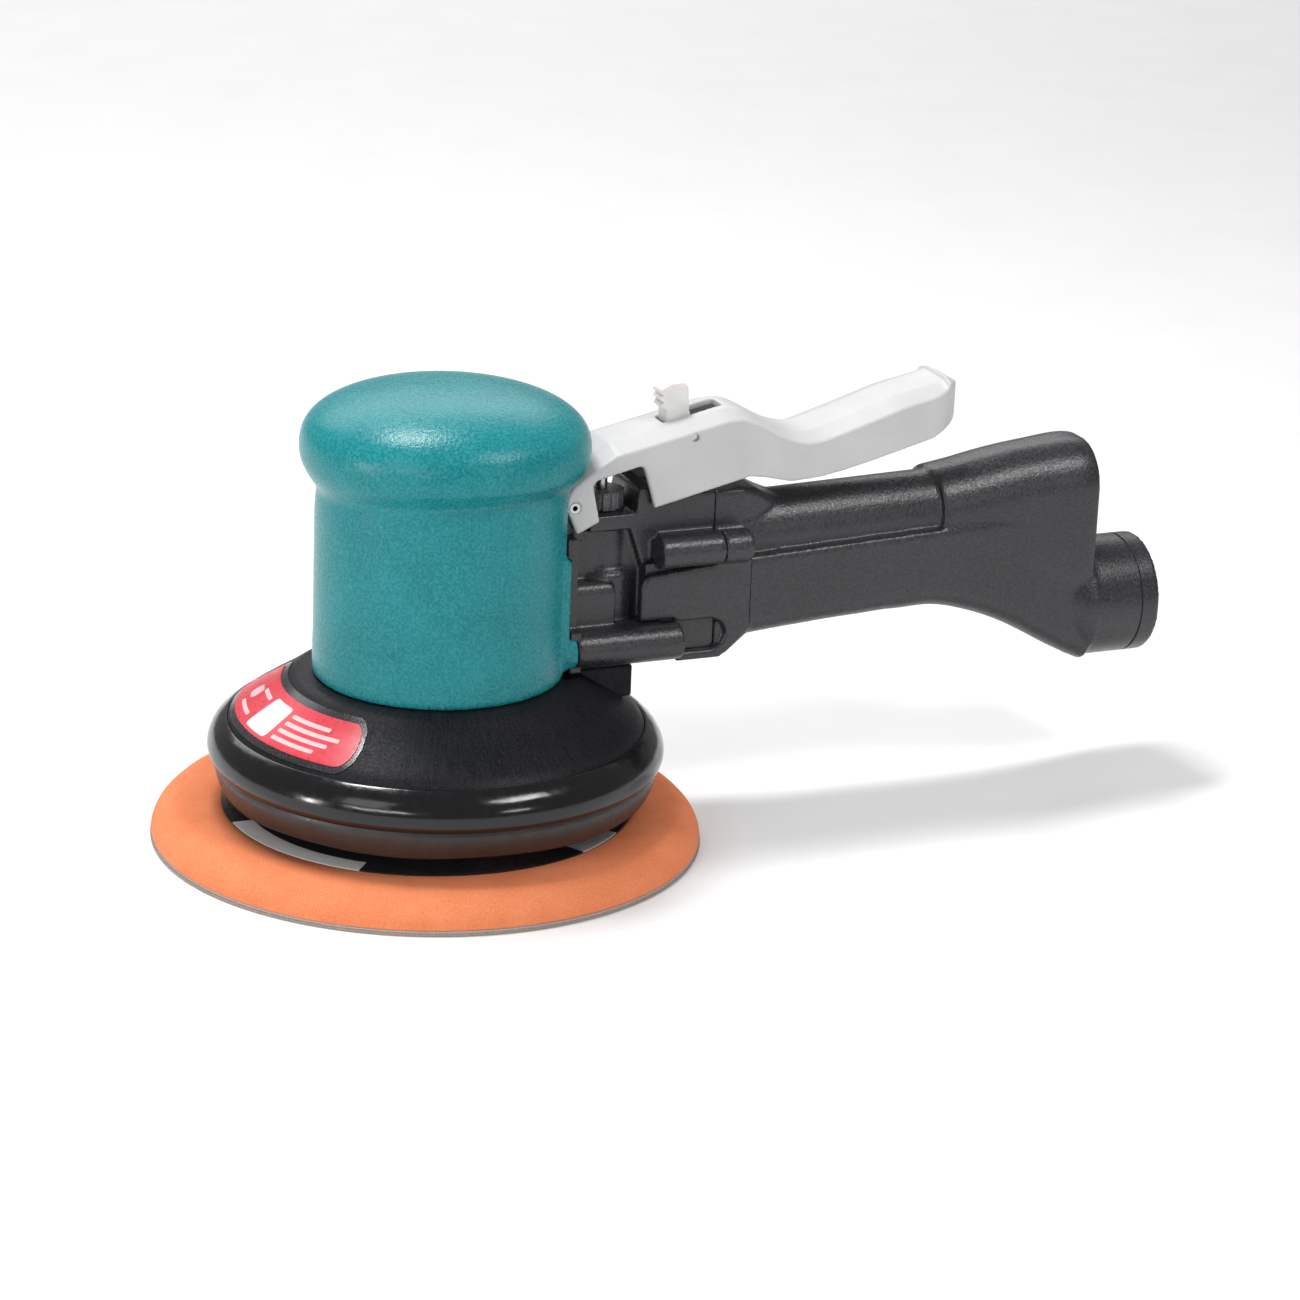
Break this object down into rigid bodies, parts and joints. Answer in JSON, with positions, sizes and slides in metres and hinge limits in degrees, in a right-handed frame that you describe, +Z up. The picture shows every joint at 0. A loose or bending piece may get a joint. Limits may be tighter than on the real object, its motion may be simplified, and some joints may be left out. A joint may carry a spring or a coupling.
{
  "type": "orbital sander",
  "caption": "Two-handed random-orbital air sander with palm cap, throttle lever, dust shroud and round foam pad.",
  "frame": {"origin": "motor axis where it meets the sanding face of the abrasive disc", "axes": "+X along the handle towards the dust port, +Z up through the palm cap"},
  "size_m": [0.2957, 0.1524, 0.128],
  "materials": {
    "teal_rubber": "grained",
    "black_moulding": "fine grain",
    "gloss_black": "gloss",
    "brown_rubber": "satin",
    "red_label": "satin",
    "orange_foam": "fine pores",
    "hub_print": "satin",
    "hook_face": "hook and loop",
    "abrasive": "grit",
    "pale_lever": "satin",
    "clear_white": "milky",
    "steel": "satin",
    "aluminium": "satin",
    "vane_composite": "matt",
    "seal_rubber": "matt",
    "hub_fibre": "matt",
    "bronze": "satin"
  },
  "bodies": {
    "tool_body": {"grip_cover": "teal_rubber", "motor_housing": "aluminium", "motor_cylinder": "steel", "rear_end_plate": "steel", "front_end_plate": "steel", "lock_ring": "steel", "cylinder_pin": "steel", "upper_bearing_outer": "steel", "lower_bearing_outer": "steel", "shroud": "black_moulding", "shroud_screws": "steel", "skirt_ring": "gloss_black", "skirt_band": "brown_rubber", "warning_label": "red_label", "valve_body": "black_moulding", "flange_gasket": "seal_rubber", "valve_seat": "bronze", "valve_spring": "steel", "handle_body": "black_moulding", "upper_handle_screws": "steel", "lower_handle_screws": "steel", "air_tube": "aluminium", "tube_o_rings": "seal_rubber", "inlet_bushing": "aluminium", "inlet_screen": "steel", "hose_spigot": "black_moulding", "lever_pivot_pin": "steel"},
    "rotor_assembly": {"rotor": "steel", "rotor_vanes": "vane_composite", "rotor_shaft": "steel", "upper_bearing_inner": "steel", "lower_bearing_inner": "steel", "shaft_balancer": "steel", "balancer_key": "steel", "spindle_bearing_outer": "steel", "spindle_retaining_ring": "steel"},
    "upper_ball_set": {"upper_bearing_balls": "steel"},
    "lower_ball_set": {"lower_bearing_balls": "steel"},
    "spindle_ball_set": {"spindle_bearing_balls": "steel"},
    "pad_assembly": {"pad_spindle": "steel", "spindle_bearing_inner": "steel", "spindle_screw": "steel", "pad_hub": "hub_fibre", "hub_rivets": "steel", "hub_label": "hub_print", "pad_foam": "orange_foam", "pad_face": "hook_face", "abrasive_disc": "abrasive"},
    "throttle_lever": {"throttle_lever": "pale_lever", "lockoff_pin": "steel", "lockoff_spring": "steel"},
    "lockoff": {"lockoff_lever": "clear_white"},
    "throttle_valve": {"valve_stem": "steel", "valve_head": "seal_rubber"},
    "regulator": {"speed_regulator": "black_moulding"}
  },
  "joints": [
    {"name": "motor_spin", "type": "hinge", "parent": "tool_body", "child": "rotor_assembly", "pos_m": [0, 0, 0.04], "axis": [0, 0, 1], "continuous": true},
    {"name": "pad_spin", "type": "hinge", "parent": "rotor_assembly", "child": "pad_assembly", "pos_m": [-0.00238, 0, 0.024], "axis": [0, 0, 1], "continuous": true},
    {"name": "upper_balls_spin", "type": "hinge", "parent": "tool_body", "child": "upper_ball_set", "pos_m": [0, 0, 0.0994], "axis": [0, 0, 1], "continuous": true},
    {"name": "lower_balls_spin", "type": "hinge", "parent": "tool_body", "child": "lower_ball_set", "pos_m": [0, 0, 0.0565], "axis": [0, 0, 1], "continuous": true},
    {"name": "spindle_balls_spin", "type": "hinge", "parent": "rotor_assembly", "child": "spindle_ball_set", "pos_m": [-0.00238, 0, 0.024], "axis": [0, 0, 1], "continuous": true},
    {"name": "lever_press", "type": "hinge", "parent": "tool_body", "child": "throttle_lever", "pos_m": [0.0342, 0, 0.0941], "axis": [0, 1, 0], "range_deg": [0, 6.5], "stiffness_Nm_per_rad": 2, "springref_deg": -8.59},
    {"name": "valve_stroke", "type": "slide", "parent": "tool_body", "child": "throttle_valve", "axis": [0, 0, -1], "range_m": [0, 0.0016], "deforming": ["valve_spring"]},
    {"name": "lockoff_tilt", "type": "hinge", "parent": "throttle_lever", "child": "lockoff", "pos_m": [0.0694, 0, 0.1112], "axis": [0, 1, 0], "range_deg": [0, 30], "stiffness_Nm_per_rad": 0.02, "springref_deg": -11.46},
    {"name": "regulator_turn", "type": "hinge", "parent": "tool_body", "child": "regulator", "pos_m": [0.047, 0, 0.093], "axis": [0, 0, 1], "range_deg": [0, 180]}
  ],
  "couplings": [
    {"joint": "upper_balls_spin", "follows": "motor_spin", "ratio": 0.4},
    {"joint": "lower_balls_spin", "follows": "motor_spin", "ratio": 0.42},
    {"joint": "spindle_balls_spin", "follows": "pad_spin", "ratio": 0.42},
    {"joint": "valve_stroke", "follows": "lever_press", "m_per_rad": 0.0132}
  ]
}
